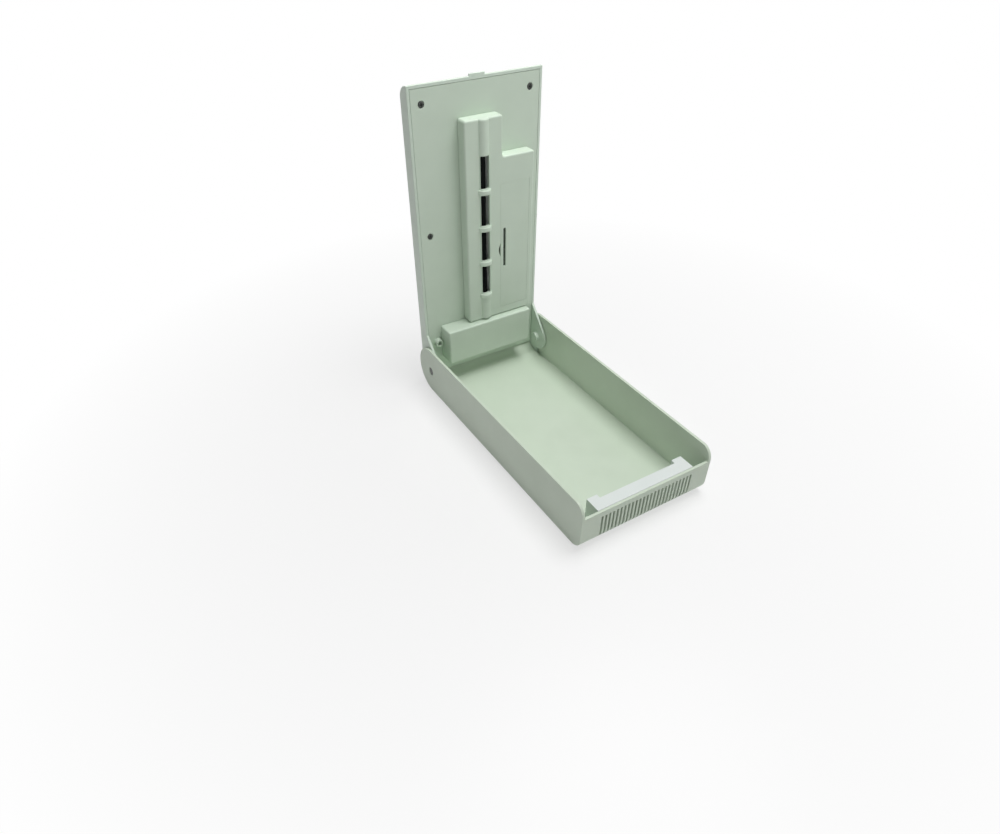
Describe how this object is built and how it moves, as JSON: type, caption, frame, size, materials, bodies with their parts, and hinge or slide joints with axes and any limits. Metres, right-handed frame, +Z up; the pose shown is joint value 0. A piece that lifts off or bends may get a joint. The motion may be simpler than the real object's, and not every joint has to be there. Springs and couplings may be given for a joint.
{
  "type": "uv sanitizer box for phones",
  "caption": "Clamshell ultraviolet sanitizer box for a phone, with a hinged lid that carries a lamp sleeve, a battery door and a power button.",
  "frame": {"origin": "centre of the box's plan on the surface it stands on, with the lid open upright", "axes": "+Z up, -Y towards the slotted front wall, +Y towards the lid hinge, +X to the right seen from the front"},
  "size_m": [0.104, 0.217, 0.2193],
  "materials": {
    "mint_satin_plastic": "fine satin moulded plastic",
    "mint_gloss_plastic": "smooth moulded plastic",
    "black_rubber": "matt rubber",
    "plated_steel": "nickel plate",
    "dark_glass": "polished dark glass tube",
    "clear_plastic": "tinted light pipe",
    "bright_aluminium": "polished sheet",
    "cell_can": "plain printed sleeve over a can",
    "black_plastic": "matt moulded plastic",
    "circuit_board": "green solder mask",
    "ferrite": "sintered ferrite"
  },
  "bodies": {
    "tray": {"tray_shell": "mint_satin_plastic", "vent_baffle": "mint_gloss_plastic", "lid_magnet": "plated_steel", "foot_front_left": "black_rubber", "foot_front_right": "black_rubber", "foot_rear_left": "black_rubber", "foot_rear_right": "black_rubber", "hinge_pin_left": "plated_steel", "hinge_pin_right": "plated_steel"},
    "lid": {"lid_cover": "mint_gloss_plastic", "lid_liner": "mint_satin_plastic", "lamp_housing": "mint_satin_plastic", "uv_lamp": "dark_glass", "lamp_cap_near": "black_rubber", "lamp_cap_far": "black_rubber", "lamp_reflector": "bright_aluminium", "battery_holder": "black_plastic", "battery_cell_1": "cell_can", "battery_cell_2": "cell_can", "battery_cell_3": "cell_can", "battery_cell_4": "cell_can", "contact_link": "plated_steel", "contact_positive": "plated_steel", "contact_negative": "plated_steel", "driver_cover": "mint_satin_plastic", "inverter_board": "circuit_board", "inverter_transformer": "ferrite", "inverter_capacitor": "black_plastic", "control_board": "circuit_board", "switch_base": "black_plastic", "status_light": "clear_plastic", "liner_screw_near_left": "plated_steel", "liner_screw_near_right": "plated_steel", "liner_screw_far_left": "plated_steel", "liner_screw_far_right": "plated_steel", "reed_switch": "dark_glass"},
    "button": {"power_button": "mint_gloss_plastic", "switch_plunger": "black_plastic"},
    "door": {"battery_door": "mint_satin_plastic"}
  },
  "joints": [
    {"name": "lid_hinge", "type": "hinge", "parent": "tray", "child": "lid", "pos_m": [0, 0.0899, 0.0194], "axis": [1, 0, 0], "range_deg": [0, 90]},
    {"name": "button_press", "type": "slide", "parent": "lid", "child": "button", "axis": [0, -1, 0], "range_m": [0, 0.0005], "stiffness_N_per_m": 1000, "springref_m": -0.002},
    {"name": "door_hinge", "type": "hinge", "parent": "lid", "child": "door", "pos_m": [0.0357, 0.0898, 0.1044], "axis": [0, 0, 1], "range_deg": [0, 40]}
  ]
}
